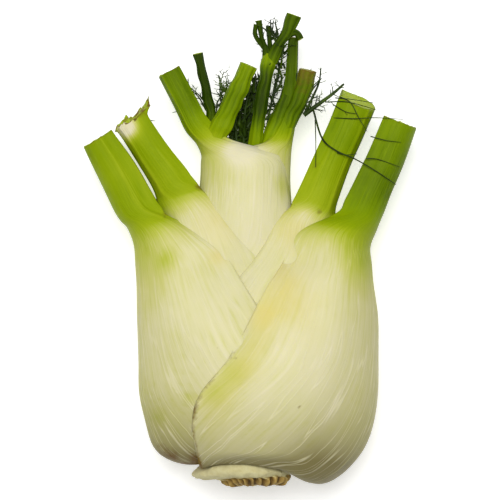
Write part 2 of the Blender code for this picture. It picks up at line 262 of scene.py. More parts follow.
FAR_WALL = 1.0            # the wall opposite the midrib, in millimetres
STALK_FLAT = 0.92         # where a stalk's flat inner face lies, as a part of its half width
STALK_BOW = 0.10          # how far that face bows out, as a part of the half width
STALK_DEPTH = 0.80        # that face's depth, as a part of the stalk's half depth
STALK_ANGLE = math.radians(80)
RINGS_PER_SPAN = 6        # rings from one station of a leaf to the next
# A cut end's rings, from the rim to its middle: how far each has shrunk, and how far it is
# above the rim in millimetres
CUT_RINGS = [(0.985, 0.25), (0.95, 0.40), (0.88, 0.34), (0.74, 0.10), (0.55, -0.12),
             (0.34, -0.25), (0.15, -0.30), (0.03, -0.30)]

# A ring of a leaf: its middle (y, x), half width, half depth, its front and back margins'
# angles from the midrib, the midrib's thickness, the lean outwards, how far it has closed
# from a sheath (0) to a stalk (1), and how green it is. Millimetres and degrees.
Ring = namedtuple("Ring", "y x width depth front back wall lean stalk green")

OUTER_RIGHT = [
    Ring(-86.4, -2.0, 19.0, 14.5, 140, 140, 3.0, 7, 0, 0.14),
    Ring(-90.0, -1.0, 27.5, 21.5, 134, 136, 4.5, 7, 0, 0.14),
    Ring(-86.6, 0.5, 35.5, 27.0, 128, 130, 6.0, 6, 0, 0.14),
    Ring(-79.0, 1.5, 42.0, 30.4, 125, 128, 7.0, 4, 0, 0.12),
    Ring(-70.0, 1.8, 46.4, 32.2, 123, 124, 7.0, 2, 0, 0.10),
    Ring(-58.0, 2.6, 48.8, 33.8, 118, 122, 7.0, 0, 0, 0.09),
    Ring(-44.0, 3.0, 49.4, 34.2, 104, 118, 7.0, 0, 0, 0.07),
    Ring(-28.0, 3.4, 48.6, 33.8, 93, 110, 7.0, 0, 0, 0.10),
    Ring(-14.0, 3.6, 46.0, 33.2, 83, 102, 7.0, 0, 0, 0.14),
    Ring(-4.0, 8.9, 40.0, 28.4, 80, 96, 7.0, 2, 0, 0.22),
    Ring(4.0, 21.6, 27.0, 20.2, 92, 94, 7.0, 6, 0.1, 0.38),
    Ring(10.0, 36.4, 14.6, 13.4, 124, 104, 8.0, 10, 0.45, 0.58),
    Ring(13.4, 43.2, 9.2, 10.4, 118, 110, 11.0, 14, 0.95, 0.68),
    Ring(18.0, 45.6, 8.7, 9.0, 112, 112, 12.0, 17, 1, 0.76),
    Ring(26.0, 49.2, 8.2, 8.2, 112, 112, 12.0, 20, 1, 0.83),
    Ring(38.0, 54.7, 7.9, 7.8, 112, 112, 12.0, 23, 1, 0.80),
    Ring(51.0, 59.7, 7.4, 7.2, 112, 112, 12.0, 21, 1, 0.75),
]


def shape_leaf(stations, hand, look, face, share, ring):
    """Where each point of a leaf's blank goes, and its station's values.

    face is 1 on the outer face of the wall and 0 on the inner one; hand is 1 for a leaf on
    the right and -1 on the left.
    """
    last = len(stations) - 1
    body = RINGS_PER_SPAN * last
    at = np.clip(ring - 1, 0, body) / RINGS_PER_SPAN
    s = through_stations(stations, at)
    y, x, width, depth, front, back, wall, lean, stalk = s.T[:9]
    stalk = np.clip(stalk, 0, 1)
    lean = np.radians(lean)
    far = np.minimum(FAR_WALL, 0.5 * wall)
    edge = np.abs(share) ** look.taper * (1 - stalk)
    shift = (1 - stalk) * (wall - far) / 2 + stalk * STALK_FLAT * width
    sink = look.sink * edge
    in_width = (1 - stalk) * (width - (wall + far) / 2) + stalk * STALK_BOW * width - sink
    in_depth = (1 - stalk) * (depth - (wall + far) / 2) + stalk * STALK_DEPTH * depth - sink
    margin = np.radians(np.where(share > 0, front, back))
    angle = share * margin
    inside = share * ((1 - stalk) * margin + stalk * STALK_ANGLE)
    inner = np.array([in_width * np.cos(inside) - shift, in_depth * np.sin(inside)])
    under = np.where((angle < 0), look.under, 1.0)
    outer = np.array([width * np.cos(angle), depth * under * np.sin(angle)])
    outer = inner + (outer - inner) * (1 - (1 - look.edge_wall) * edge)
    # the first ring of the blank is the middle of the wall, where the leaf's base closes
    out, up = inner + (outer - inner) * np.where(ring == 0, 0.5, face)
    # past the last station the rings shrink in, a little off centre, to close the cut end
    cap = np.clip(ring - 1 - body, 0, len(CUT_RINGS))
    shrink, rise = np.array([(1.0, 0.0)] + CUT_RINGS)[cap].T
    middle = np.where(cap > 0, -0.10 * width, 0)
    across = (out - middle) / width
    out = middle + (out - middle) * shrink
    up = up * shrink
    near_cut = np.clip(at - (last - 1), 0, 1) ** 2
    rise = rise - near_cut * look.cut_slope * up
    flap = look.flap * np.clip(-across - 0.15, 0, 1) ** 1.5 * near_cut ** 3
    rise = rise + flap
    out = out - 2.0 * flap
    right = x + hand * (out * np.cos(lean) + rise * np.sin(lean))
    ahead = y - out * np.sin(lean) + rise * np.cos(lean)
    for bulge_x, bulge_y, size, amount in look.bulges:
        away = np.hypot(right - bulge_x, ahead - bulge_y) / size
        up = up + amount * np.exp(-away ** 2) * np.clip(up / 6, 0, 1)
    # the sheath's lower edge is drawn up where the root plate shows
    below = np.clip((-80 - ahead) / 8, 0, 1)
    ahead = ahead + look.root_notch * below * np.exp(-((right - 1) / 18) ** 4)
    places = np.column_stack([right, ahead, np.maximum(AXIS + up, 0)]) * MM
    return places, s, cap / len(CUT_RINGS), near_cut


def station_lengths(stations, rings):
    """How far along the leaf each ring of the blank is, in millimetres."""
    at = (np.arange(rings) - 1) / RINGS_PER_SPAN
    middle = through_stations(stations, at)[:, :2]
    steps = np.abs(np.diff(middle[:, 0])) + 0.3 * np.abs(np.diff(middle[:, 1]))
    return np.concatenate([[0.0], np.cumsum(steps)])


# How one leaf differs from another: its seed, facets over a face of the wall, ribs, the
# sharpness of the wall's taper and its thickness left at the margin, how far the margin
# sinks onto the next leaf, its underside's fullness, how far its lower edge is drawn up at
# the root, its cut's slope towards the front, the height of a torn flap, how ragged the tear
# is, where a raised rib runs up its stalk, how browned its base and its front margin are,
# how much painted shade darkens its midrib side, the bulges of its front, each (x, y, size,
# amount), and its blotches, each (mark, x, y, size, amount).
Look = namedtuple("Look", "seed steps ribs taper edge_wall sink under root_notch cut_slope "
                          "flap ragged rib base_brown edge_brown side_dull bulges blotches")
PLAIN = Look(seed=1, steps=56, ribs=26, taper=3.5, edge_wall=0.10, sink=0.45, under=1.0,
             root_notch=2.0, cut_slope=0.06, flap=0.0, ragged=0.18, rib=0.4,
             base_brown=0.3, edge_brown=0.0, side_dull=0.0, bulges=(), blotches=())


def grow_leaf(node, stations, hand, look):
    """A leaf from its blank: shaped, smoothed, ribbed, and marked for its material."""
    sides = 2 * (look.steps + 1)
    rings = RINGS_PER_SPAN * (len(stations) - 1) + 2 + len(CUT_RINGS)
    leaf = start_sleeve(f"{node}_detail", sides, rings)
    side, ring = sleeve_grid(leaf, sides, rings)
    on_outer = side <= look.steps
    share = 2 * np.where(on_outer, side, sides - 1 - side) / look.steps - 1
    places, s, cut, near_cut = shape_leaf(stations, hand, look, on_outer, share, ring)
    tear = lumps(places, 1.6, look.seed + 5) + 0.6 * lumps(places, 0.7, look.seed + 6)
    places[:, 1] += tear * near_cut ** 4 * look.ragged * MM
    write_places(leaf.data, places)
    along = station_lengths(stations, rings)[ring]
    write_marks(leaf.data, share=share, face=on_outer, along=along, cut=cut, torn=near_cut,
                stalk=np.clip(s[:, 8], 0, 1), green=s[:, 9])
    close_up(leaf)
    smooth_once(leaf)
    dress_leaf(leaf, look)
    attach(leaf, "root")
    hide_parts(node)
    return leaf


VEIN_CLIMB = 60           # the veins leave the midrib over this length, in millimetres
VEIN_SPREAD = 0.45        # and by this much of the half wall
GROOVE_WIDTH = 0.30       # of a groove between two ribs, as a part of their spacing
GROOVE_DEPTH = 0.07       # in millimetres, on the sheath
STALK_GROOVE = 0.16       # how much deeper it is on the stalk
BASE_GROOVE = 0.12        # and at the base
RIB_HEIGHT = 0.35
SWELL = 0.55              # height of the broad swellings, in millimetres
RIPPLE = 0.16             # and of the smaller ones over them


def dress_leaf(leaf, look):
    """Raise the veins and ribs, swell the wall unevenly, and mark colours, painted shade and
    damage.
    """
    mesh = leaf.data
    places = read_places(mesh)
    normals = np.empty(len(places) * 3)
    mesh.vertices.foreach_get("normal", normals)
    normals = normals.reshape(-1, 3)
    share, face, along = (read_mark(mesh, n) for n in ("share", "face", "along"))
    stalk, cut, torn, green = (read_mark(mesh, n) for n in ("stalk", "cut", "torn", "green"))
    # veins climb from the base away from the front margin, then run up into the stalk
    climb = np.clip(along / VEIN_CLIMB, 0, 1)
    vein = share + VEIN_SPREAD * climb * (2 - climb) * np.tanh(3 * share)
    skin = np.clip(face, 0, 1) * (1 - np.clip(cut * 4, 0, 1))
    drift = lumps(places, 34.0, look.seed)
    phase = np.abs(np.sin(math.pi * (vein * look.ribs / 2 + 0.5 * drift)))
    fade = np.clip(0.45 + 0.9 * lumps(places * (1, 0.35, 1), 9.0, look.seed + 1), 0.0, 1.0)
    groove = np.exp(-(phase / GROOVE_WIDTH) ** 2) * fade
    swell = lumps(places, 24.0, look.seed + 2) * SWELL
    swell += lumps(places * (1, 0.5, 1), 7.0, look.seed + 3) * RIPPLE
    rib = np.exp(-((share - look.rib) / 0.06) ** 2) * stalk
    depth = GROOVE_DEPTH + STALK_GROOVE * stalk + BASE_GROOVE * np.exp(-(along / 34) ** 2)
    lift = swell * (1 - 0.6 * stalk) - groove * depth + RIB_HEIGHT * rib
    places += normals * (skin * lift)[:, None] * MM
    places[:, 2] = np.maximum(places[:, 2], 0.03 * MM)
    write_places(mesh, places)
    # the green stays by the midrib in the sheath, and the base and the margin brown first
    midrib = np.clip(1 - (share / 0.55) ** 2, 0, 1) * (1 - stalk)
    base = np.exp(-(along / 5) ** 2) * np.clip(0.6 + lumps(places, 5.0, look.seed + 4), 0, 1.6)
    spread = np.clip((np.abs(share) - 0.30) / 0.45, 0, 1) * (1 - np.clip(2 * stalk, 0, 1))
    green = green - spread * np.clip(green - 0.10, 0, 1) * 0.85
    tips = look.flap * 0.20 * torn ** 8 * np.clip(0.5 + lumps(places, 1.5, look.seed + 7), 0, 1)
    edge = np.exp(-((share - 0.99) / 0.018) ** 2) * np.clip(1.4 - along / 60, 0, 1) * skin
    yellowed = np.exp(-((share - 0.90) / 0.09) ** 2) * np.exp(-((along - 48) / 24) ** 2)
    marks = {"green": green + 0.07 * midrib - 0.07 * rib + 0.2 * look.edge_brown * yellowed,
             "warm": look.edge_brown * yellowed,
             "brown": look.base_brown * base + tips + look.edge_brown * edge,
             # painted shade: darker towards the leaf's base, at the bottom of the bulb, and along
             # its midrib side
             "dull": (np.exp(-(along / 26) ** 2) + 0.7 * np.exp(-(along / 9) ** 2)
                      + look.side_dull * midrib)}
    for name, x, y, size, amount in look.blotches:
        away = np.hypot(places[:, 0] / MM - x, places[:, 1] / MM - y) / size
        marks[name] += amount * np.exp(-away ** 2) * (places[:, 2] > AXIS * MM)
    rim = np.exp(-((cut - 0.12) / 0.10) ** 2) * np.clip(cut * 30, 0, 1)
    marks["brown"] += rim * (0.25 + 1.6 * min(look.ragged, 0.5))
    write_marks(mesh, vein=vein, groove=groove * skin, **marks)
    mesh.materials.clear()
    mesh.materials.append(leaf_flesh)


# Leaf flesh: crisp and watery under a thin waxy skin, so light goes a little way in. Cream
# at the base where it grew in the dark, through yellow-green, to green on the stalk, with
# the change running out in streaks along the veins. Those are 2 mm wide and 20 mm long, the
# dark strands between them 6 mm apart, the clouds 18 mm across and the specks 2.5 mm.
leaf_flesh = bpy.data.materials.new("fennel_leaf_flesh")
leaf_flesh.use_nodes = True
tree = leaf_flesh.node_tree
shader = tree.nodes["Principled BSDF"]
shader.inputs["IOR"].default_value = 1.42
shader.inputs["Specular IOR Level"].default_value = 0.13
shader.inputs["Specular Tint"].default_value = linear("fff9b0")
shader.inputs["Subsurface Weight"].default_value = 0.15
shader.inputs["Subsurface Radius"].default_value = (0.9, 0.8, 0.25)
shader.inputs["Subsurface Scale"].default_value = 3 * MM
where = add_node(tree, "ShaderNodeTexCoord")
marks = {name: add_node(tree, "ShaderNodeAttribute", {"attribute_name": name}).outputs["Fac"]
         for name in ("vein", "along", "green", "groove", "cut", "warm", "brown", "dull")}
# across a leaf, about 90 mm, the veins' place runs from -1 to 1; along it is in millimetres
vein_place = add_node(tree, "ShaderNodeCombineXYZ", X=marks["vein"], Y=marks["along"])
fine = add_node(tree, "ShaderNodeMapping", Vector=vein_place.outputs[0],
                Scale=(46.0, 0.045, 1.0))
streak = add_node(tree, "ShaderNodeTexNoise", Vector=fine.outputs[0], Scale=1.0,
                  Detail=4.0, Roughness=0.6)
wide = add_node(tree, "ShaderNodeMapping", Vector=vein_place.outputs[0],
                Scale=(15.0, 0.02, 1.0))
strand = add_node(tree, "ShaderNodeTexNoise", Vector=wide.outputs[0], Scale=1.0,
                  Detail=1.0, Roughness=0.4)
off_strand = add_node(tree, "ShaderNodeMath", {"operation": "SUBTRACT"},
                      _0=strand.outputs["Fac"], _1=0.5)
off_strand = add_node(tree, "ShaderNodeMath", {"operation": "ABSOLUTE"}, _0=off_strand.outputs[0])
vein_line = add_node(tree, "ShaderNodeMapRange", {"interpolation_type": "SMOOTHSTEP"},
                     Value=off_strand.outputs[0], From_Min=0.0, From_Max=0.03, To_Min=1.0,
                     To_Max=0.0)
cloud = add_node(tree, "ShaderNodeTexNoise", Vector=where.outputs["Object"],
                 Scale=0.055 / MM, Detail=3.0, Roughness=0.55)
tone = add_node(tree, "ShaderNodeMath", {"operation": "MULTIPLY_ADD"},
                _0=streak.outputs["Fac"], _1=0.20, _2=marks["green"])
tone = add_node(tree, "ShaderNodeMath", {"operation": "MULTIPLY_ADD"},
                _0=cloud.outputs["Fac"], _1=0.16, _2=tone.outputs[0])
# the vein lines are paler, and more so where the painted shade lies
paleness = add_node(tree, "ShaderNodeMath", {"operation": "MULTIPLY_ADD"}, _0=marks["dull"],
                    _1=-0.06, _2=-0.04)
tone = add_node(tree, "ShaderNodeMath", {"operation": "MULTIPLY_ADD"},
                _0=vein_line.outputs[0], _1=paleness.outputs[0], _2=tone.outputs[0])
# painted shade: the skin is darker and greener in the grooves between the ribs
tone = add_node(tree, "ShaderNodeMath", {"operation": "MULTIPLY_ADD"},
                _0=marks["groove"], _1=0.06, _2=tone.outputs[0])
tone = add_node(tree, "ShaderNodeMath", {"operation": "SUBTRACT"}, _0=tone.outputs[0], _1=0.18)
skin_tint = add_node(tree, "ShaderNodeValToRGB", Fac=tone.outputs[0])
set_ramp(skin_tint, (0.0, "e6dfba"), (0.12, "ddd8a4"), (0.22, "cfcd7e"), (0.34, "bcc250"),
         (0.48, "a0b018"), (0.62, "8aa004"), (0.76, "769002"), (0.88, "526c02"), (1.0, "263c02"))
warmth = add_node(tree, "ShaderNodeMath", {"operation": "MULTIPLY"}, _0=marks["warm"],
                  _1=cloud.outputs["Fac"])
warm_tint = add_node(tree, "ShaderNodeMix", {"data_type": "RGBA"}, _0=warmth.outputs[0],
                     _6=skin_tint.outputs["Color"], _7=linear("e0cf78"))
pith_tint = add_node(tree, "ShaderNodeValToRGB", Fac=marks["cut"])
set_ramp(pith_tint, (0.0, "8fa412"), (0.35, "98ad16"), (0.6, "a1b420"), (1.0, "adbe3a"))
is_cut = add_node(tree, "ShaderNodeMapRange", Value=marks["cut"], From_Min=0.1, From_Max=0.35)
tint = add_node(tree, "ShaderNodeMix", {"data_type": "RGBA"}, _0=is_cut.outputs[0],
                _6=warm_tint.outputs["Result"], _7=pith_tint.outputs["Color"])
on_vein = add_node(tree, "ShaderNodeMath", {"operation": "MULTIPLY_ADD"},
                   _0=vein_line.outputs[0], _1=-0.3, _2=0.62)
# painted shade: the skin is mixed towards a grey olive as the painted shade mark rises, less on the
# vein lines
painted_shade_amount = add_node(tree, "ShaderNodeMath", {"operation": "MULTIPLY"}, _0=marks["dull"],
                    _1=on_vein.outputs[0])
tint = add_node(tree, "ShaderNodeMix", {"data_type": "RGBA"}, _0=painted_shade_amount.outputs[0],
                _6=tint.outputs["Result"], _7=linear("82794e"))
speck = add_node(tree, "ShaderNodeTexNoise", Vector=where.outputs["Object"],
                 Scale=0.42 / MM, Detail=4.0, Roughness=0.6)
brown = add_node(tree, "ShaderNodeMath", {"operation": "MULTIPLY_ADD"},
                 _0=speck.outputs["Fac"], _1=0.9, _2=marks["brown"])
brown = add_node(tree, "ShaderNodeMapRange", Value=brown.outputs[0], From_Min=0.68,
                 From_Max=1.25)
tint = add_node(tree, "ShaderNodeMix", {"data_type": "RGBA"}, _0=brown.outputs[0],
                _6=tint.outputs["Result"], _7=linear("6e5420"))
gloss = add_node(tree, "ShaderNodeMapRange", Value=cloud.outputs["Fac"], To_Min=0.40,
                 To_Max=0.56)
raised = add_node(tree, "ShaderNodeMath", {"operation": "MULTIPLY_ADD"}, _0=marks["dull"],
                  _1=1.8, _2=0.45)
relief = add_node(tree, "ShaderNodeMath", {"operation": "MULTIPLY_ADD"},
                  _0=vein_line.outputs[0], _1=raised.outputs[0], _2=streak.outputs["Fac"])
grain = add_node(tree, "ShaderNodeBump", Height=relief.outputs[0], Strength=0.28,
                 Distance=0.5 * MM)
tree.links.new(tint.outputs["Result"], shader.inputs["Base Color"])
tree.links.new(gloss.outputs[0], shader.inputs["Roughness"])
tree.links.new(grain.outputs["Normal"], shader.inputs["Normal"])

# Painted shade darkens its midrib side and the lower right of the bulb.
outer_right = grow_leaf(
    "outer_right_leaf", OUTER_RIGHT, 1,
    PLAIN._replace(seed=11, steps=84, ribs=30, edge_wall=0.14, sink=1.2, under=1.06,
                   taper=2.6, root_notch=5.2, rib=-0.3, side_dull=0.46, edge_brown=0.55,
                   bulges=((16.0, -5.0, 14.0, -3.4),), blotches=(
        # painted shade over the lower right of the bulb
        ("dull", 24.0, -86.0, 15.0, 0.6),
        ("warm", 12.0, -10.0, 9.0, 0.8), ("warm", 4.0, -26.0, 6.0, 0.9),
        ("warm", 16.0, -22.0, 12.0, 0.5), ("green", -8.0, -48.0, 6.0, 0.12),
        ("green", -14.0, -56.0, 5.0, 0.12), ("brown", -23.0, -64.0, 2.4, 0.3),
        ("brown", 19.2, -61.6, 1.0, 0.7), ("brown", -6.0, -42.0, 1.4, 0.35),
        ("brown", -20.0, -86.0, 4.0, 0.45), ("green", 47.0, -6.0, 11.0, 0.16))))

# ---------------------------------------------------------------------------------------
# Outer left leaf: wraps the left side and the front of the bulb. Its margin passes under
# the outer right leaf, and its lower edge is torn and browned beside the root.
# ---------------------------------------------------------------------------------------

OUTER_LEFT = [
    Ring(-82.6, -1.5, 14.6, 8.6, 140, 140, 2.5, 2, 0, 0.14),
    Ring(-84.0, -2.0, 22.5, 12.6, 130, 132, 3.5, 3, 0, 0.14),
    Ring(-81.4, -2.5, 30.5, 18.6, 128, 130, 5.0, 3, 0, 0.14),
    Ring(-77.0, -2.0, 36.5, 23.6, 126, 128, 6.0, 2, 0, 0.13),
    Ring(-69.0, -1.6, 40.2, 27.2, 123, 126, 7.0, 0, 0, 0.12),
    Ring(-57.0, -1.4, 43.6, 28.9, 118, 122, 7.0, 0, 0, 0.11),
    Ring(-44.0, -1.3, 44.2, 29.2, 110, 118, 7.0, 0, 0, 0.10),
    Ring(-28.0, -1.5, 44.3, 28.8, 99, 108, 7.0, 0, 0, 0.11),
    Ring(-14.0, -3.6, 42.0, 26.4, 89, 98, 7.0, 1, 0, 0.15),
    Ring(-3.0, -10.5, 35.6, 23.0, 89, 92, 7.0, 4, 0, 0.24),
    Ring(5.0, -26.0, 20.9, 17.4, 104, 100, 7.0, 9, 0.1, 0.36),
    Ring(11.2, -38.6, 10.9, 12.0, 130, 104, 8.0, 16, 0.5, 0.52),
    Ring(14.4, -43.0, 9.2, 9.8, 118, 110, 11.0, 21, 0.95, 0.60),
    Ring(19.0, -46.2, 9.0, 8.8, 112, 112, 12.0, 25, 1, 0.62),
    Ring(31.2, -52.6, 8.4, 7.9, 112, 112, 12.0, 30, 1, 0.61),
    Ring(44.4, -60.6, 7.0, 6.8, 112, 112, 12.0, 31, 1, 0.66),
]

outer_left = grow_leaf(
    "outer_left_leaf", OUTER_LEFT, -1,
    PLAIN._replace(seed=23, steps=80, ribs=34, rib=0.88, base_brown=1.4, side_dull=0.2,
                   sink=1.1, taper=2.2, bulges=((-13.0, -3.0, 15.0, -1.8),), blotches=(
        ("brown", -33.4, 14.4, 1.8, 0.6), ("green", -33.0, -4.0, 4.0, 0.14),
        ("warm", -12.0, -2.0, 4.0, 1.2), ("green", -36.0, -66.0, 3.0, 0.10),
        ("green", -24.0, -58.0, 3.0, 0.10), ("brown", -34.0, -82.0, 6.0, 0.5),
        ("brown", -22.0, -83.0, 3.0, 0.7), ("brown", -12.0, -38.0, 1.2, 0.3))))

# ---------------------------------------------------------------------------------------
# Second right leaf: its sheath shows below the right of the neck, and its stalk was cut on
# a slant, so that its bright green cut end faces the front.
# ---------------------------------------------------------------------------------------

SECOND_RIGHT = [
    Ring(-81.0, -1.0, 10.2, 5.6, 140, 140, 2.0, 0, 0, 0.1),
    Ring(-81.4, 0.0, 17.0, 9.6, 132, 134, 3.0, 0, 0, 0.1),
    Ring(-78.8, 0.5, 24.0, 14.8, 130, 132, 4.0, 0, 0, 0.1),
    Ring(-75.0, 1.0, 30.0, 19.4, 128, 130, 5.0, 0, 0, 0.1),
    Ring(-67.0, 1.4, 34.0, 22.3, 126, 128, 6.0, 0, 0, 0.1),
    Ring(-56.0, 1.8, 36.6, 24.0, 124, 126, 6.0, 0, 0, 0.1),
    Ring(-43.0, 2.0, 37.4, 24.3, 122, 124, 6.0, 0, 0, 0.1),
    Ring(-28.0, 2.0, 37.0, 23.8, 118, 122, 6.0, 0, 0, 0.1),
    Ring(-14.0, 2.5, 34.0, 21.8, 106, 112, 5.5, 0, 0, 0.12),
    Ring(-2.0, 5.5, 29.0, 18.4, 93, 98, 5.0, 2, 0, 0.15),
    Ring(7.0, 12.0, 20.0, 13.2, 94, 92, 6.0, 6, 0.1, 0.18),
    Ring(14.0, 22.0, 12.6, 10.4, 128, 102, 7.0, 12, 0.4, 0.36),
    Ring(17.6, 25.0, 9.6, 9.8, 118, 108, 10.0, 17, 0.9, 0.54),
    Ring(22.4, 27.0, 8.6, 8.8, 112, 112, 12.0, 20, 1, 0.56),
    Ring(36.0, 32.6, 8.0, 8.0, 112, 112, 12.0, 23, 1, 0.65),
    Ring(48.0, 38.0, 7.9, 7.8, 112, 112, 12.0, 24, 1, 0.75),
    Ring(59.6, 42.6, 8.0, 7.2, 112, 112, 12.0, 24, 1, 0.74),
]

second_right = grow_leaf(
    "second_right_leaf", SECOND_RIGHT, 1,
    PLAIN._replace(seed=37, cut_slope=0.33, taper=1.9, sink=1.4, side_dull=0.1,
                   bulges=((13.0, 4.0, 12.0, 1.2),), blotches=(
        ("brown", 26.4, 34.0, 1.6, 0.45), ("brown", 27.6, 15.0, 1.4, 0.5),
        ("green", 22.0, 15.0, 5.0, -0.14), ("warm", 18.0, 8.0, 8.0, 0.6))))

# ---------------------------------------------------------------------------------------
# Second left leaf: its stalk was torn off rather than cut. The pale pith shows on its front,
# and a browned flap of skin stands up at its right.
# ---------------------------------------------------------------------------------------

SECOND_LEFT = [
    Ring(-79.4, -1.0, 6.8, 3.4, 140, 140, 1.5, 0, 0, 0.1),
    Ring(-79.2, -1.0, 12.4, 6.8, 132, 134, 2.6, 0, 0, 0.1),
    Ring(-76.6, -1.0, 18.6, 11.2, 130, 132, 3.6, 0, 0, 0.1),
    Ring(-73.0, -1.2, 24.5, 15.2, 128, 130, 4.6, 0, 0, 0.1),
    Ring(-65.0, -1.5, 28.5, 17.8, 126, 128, 6.0, 0, 0, 0.1),
    Ring(-55.0, -1.7, 31.0, 19.2, 124, 126, 6.0, 0, 0, 0.1),
    Ring(-42.0, -1.8, 32.0, 19.6, 122, 124, 6.0, 0, 0, 0.1),
    Ring(-27.0, -2.0, 31.4, 19.2, 120, 122, 6.0, 0, 0, 0.1),
    Ring(-13.0, -4.0, 29.0, 17.0, 114, 118, 5.0, 0, 0, 0.12),
    Ring(0.0, -8.0, 25.0, 14.8, 113, 114, 4.0, 2, 0, 0.12),
    Ring(12.0, -15.6, 18.0, 12.0, 118, 110, 3.6, 6, 0, 0.16),
    Ring(20.6, -24.6, 13.0, 9.8, 126, 106, 6.0, 15, 0.3, 0.46),
    Ring(25.0, -29.4, 9.2, 9.2, 116, 110, 10.0, 24, 0.9, 0.57),
    Ring(30.0, -32.6, 8.2, 8.2, 112, 112, 12.0, 29, 1, 0.58),
    Ring(38.0, -38.3, 7.5, 7.6, 112, 112, 12.0, 32, 1, 0.62),
    Ring(48.0, -44.9, 7.2, 7.4, 112, 112, 12.0, 32, 1, 0.64),
    Ring(52.0, -47.6, 7.6, 7.4, 112, 112, 12.0, 33, 1, 0.60),
]

second_left = grow_leaf(
    "second_left_leaf", SECOND_LEFT, -1,
    PLAIN._replace(seed=41, cut_slope=0.14, flap=3.0, ragged=1.5, taper=1.9, sink=1.6,
                   bulges=((-12.0, 6.0, 11.0, 2.4),), blotches=(
        ("green", -49.0, 48.6, 4.4, -0.8), ("brown", -43.0, 54.0, 2.6, 0.4),
        ("brown", -20.0, 25.0, 1.8, 0.7), ("warm", -12.0, 10.0, 9.0, 0.7))))

# ---------------------------------------------------------------------------------------
# Inner left leaf: the left of the neck. Above the neck it forks into three: its own stalk,
# a wide branch that leans over the heart, and a thin dark one.
# ---------------------------------------------------------------------------------------

INNER_LEFT = [
    Ring(-77.0, -1.0, 7.0, 4.5, 140, 140, 2.0, 0, 0, 0.1),
    Ring(-70.0, -1.0, 14.0, 8.4, 132, 134, 3.0, 0, 0, 0.1),
    Ring(-58.0, -1.5, 21.0, 12.5, 128, 130, 4.0, 0, 0, 0.1),
    Ring(-42.0, -1.8, 24.0, 14.8, 124, 126, 4.0, 0, 0, 0.08),
    Ring(-26.0, -1.8, 23.5, 14.4, 122, 124, 4.0, 0, 0, 0.08),
    Ring(-12.0, -1.8, 22.0, 12.4, 120, 122, 3.6, 0, 0, 0.08),
    Ring(2.0, -1.6, 20.4, 10.8, 160, 116, 2.8, 0, 0, 0.06),
    Ring(16.0, -1.6, 19.4, 10.8, 170, 106, 2.4, 0, 0, 0.08),
    Ring(28.0, -1.8, 18.8, 11.2, 174, 100, 2.6, 0, 0, 0.14),
    Ring(35.0, -2.0, 18.4, 11.4, 172, 96, 3.0, 1, 0, 0.20),
    Ring(39.4, -3.0, 17.2, 11.0, 128, 92, 3.5, 5, 0, 0.26),
    Ring(44.0, -14.2, 7.6, 8.6, 104, 96, 6.0, 14, 0.5, 0.42),
    Ring(50.0, -20.8, 5.5, 6.2, 112, 112, 9.0, 25, 1, 0.68),
    Ring(58.0, -25.0, 5.0, 5.4, 112, 112, 9.0, 28, 1, 0.80),
    Ring(71.4, -32.0, 4.9, 4.8, 112, 112, 9.0, 28, 1, 0.84),
]

# Its first blotch is a painted highlight: a paler spot on the neck's rim.
inner_left = grow_leaf("inner_left_leaf", INNER_LEFT, -1, PLAIN._replace(
    seed=53, ribs=18, bulges=((-1.0, 11.0, 16.0, 2.4),),
    blotches=(("green", -4.0, 39.0, 6.0, -0.3), ("green", 14.0, 26.0, 5.0, 0.14))))

# A point on a stalk that grows from a leaf: x, y, height over the axis, radius, greenness
Stem = namedtuple("Stem", "x y up radius green")
STEM_SIDES = 40
STEM_RINGS = 8            # rings from one point of a stalk to the next
STEM_FLAT = 0.85          # a stalk's thickness, as a part of its width
STEM_CUT_SLOPE = 0.1      # how much its cut end leans back
STEM_RIB = 0.05           # height of its ribs, as a part of its radius
WIDE_BRANCH = [Stem(-15.4, 38.0, -1.0, 2.8, 0.15), Stem(-14.2, 43.6, 2.6, 4.0, 0.36),
               Stem(-12.4, 48.0, 4.6, 4.2, 0.62), Stem(-9.4, 53.4, 5.6, 4.1, 0.74),
               Stem(-5.0, 63.0, 6.3, 3.8, 0.79), Stem(-0.6, 73.4, 6.5, 3.5, 0.72)]
THIN_BRANCH = [Stem(-17.0, 46.0, -1.0, 2.0, 0.8), Stem(-15.6, 52.8, -2.0, 2.0, 0.92),
               Stem(-17.2, 62.0, -2.0, 1.9, 0.99), Stem(-20.8, 78.6, -1.0, 1.9, 1.0)]


